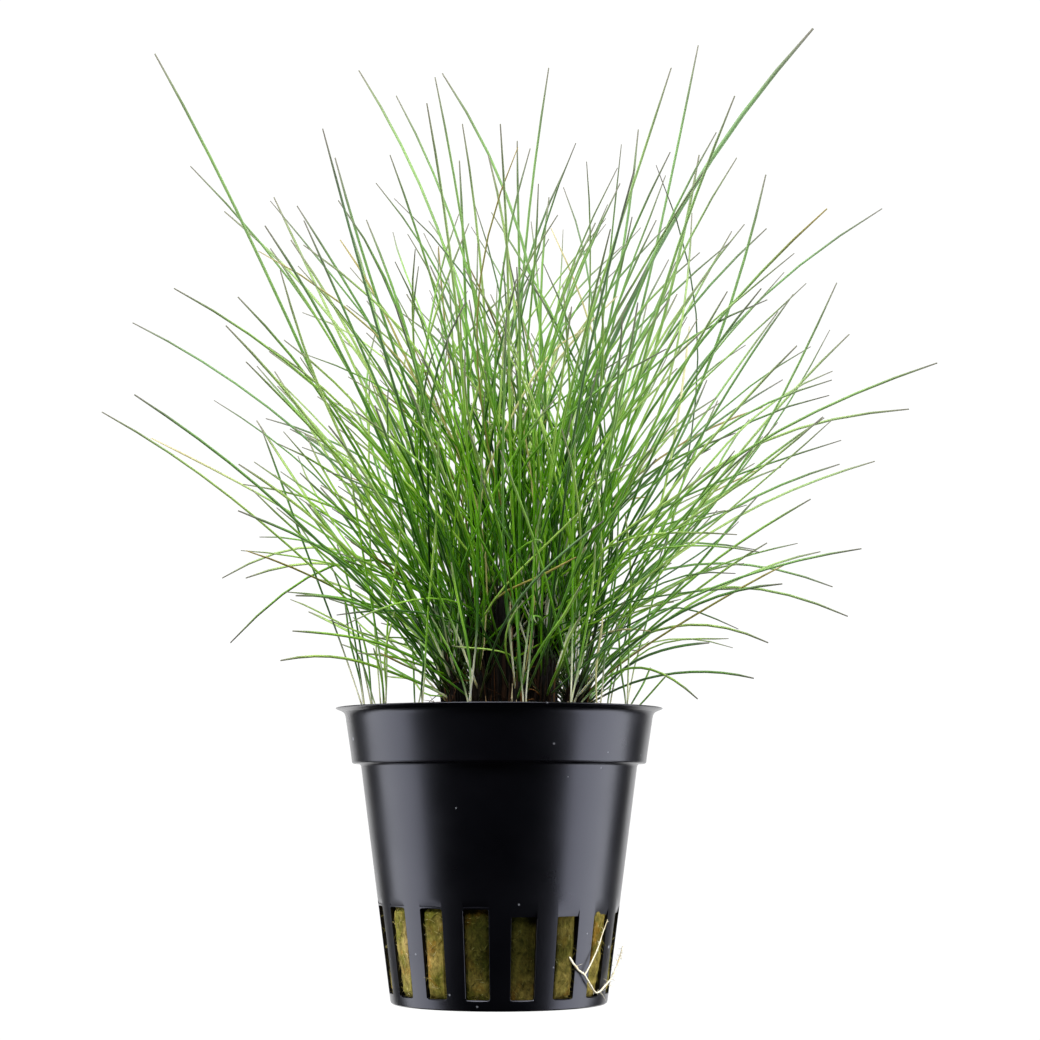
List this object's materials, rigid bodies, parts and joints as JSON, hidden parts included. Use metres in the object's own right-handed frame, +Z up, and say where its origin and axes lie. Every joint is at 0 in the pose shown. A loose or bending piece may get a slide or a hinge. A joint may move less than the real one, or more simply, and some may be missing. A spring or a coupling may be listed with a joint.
{
  "type": "potted dwarf hairgrass",
  "caption": "Dwarf hairgrass: a dense fountain of fine green culms growing from dark crowns on stone wool in a small black slotted net pot",
  "frame": {"origin": "middle of the pot's flat underside, on the pot's axis, where it stands on a surface", "axes": "+Z is up, along the pot's axis and the plant's height; -Y is the side that the picture shows; +X is to the picture's right"},
  "size_m": [0.1389, 0.1111, 0.1694],
  "materials": {
    "black_plastic": "near-black satin moulded plastic with fine dust specks",
    "stone_wool": "olive and brown mineral fibre, stained by algae, with pale loose fibres",
    "grass_green": "satin green culms, pale at the foot, grey-purple towards the tip, on dark brown old sheaths",
    "pale_root": "matt cream root"
  },
  "bodies": {
    "root": {"pot": "black_plastic", "rock_wool": "stone_wool", "loose_root": "pale_root", "centre_tuft": "grass_green", "tall_tuft_01": "grass_green", "tall_tuft_02": "grass_green", "tall_tuft_03": "grass_green", "tall_tuft_04": "grass_green", "tall_tuft_05": "grass_green", "tall_tuft_06": "grass_green", "low_tuft_01": "grass_green", "low_tuft_02": "grass_green", "low_tuft_03": "grass_green", "low_tuft_04": "grass_green", "low_tuft_05": "grass_green", "low_tuft_06": "grass_green", "low_tuft_07": "grass_green", "low_tuft_08": "grass_green", "low_tuft_09": "grass_green", "low_tuft_10": "grass_green", "low_tuft_11": "grass_green", "low_tuft_12": "grass_green", "rim_tuft_01": "grass_green", "rim_tuft_02": "grass_green", "rim_tuft_03": "grass_green", "rim_tuft_04": "grass_green", "rim_tuft_05": "grass_green", "rim_tuft_06": "grass_green", "rim_tuft_07": "grass_green", "rim_tuft_08": "grass_green", "rim_tuft_09": "grass_green", "rim_tuft_10": "grass_green", "rim_tuft_11": "grass_green", "rim_tuft_12": "grass_green", "rim_tuft_13": "grass_green", "rim_tuft_14": "grass_green", "rim_tuft_15": "grass_green", "rim_tuft_16": "grass_green"}
  },
  "joints": []
}
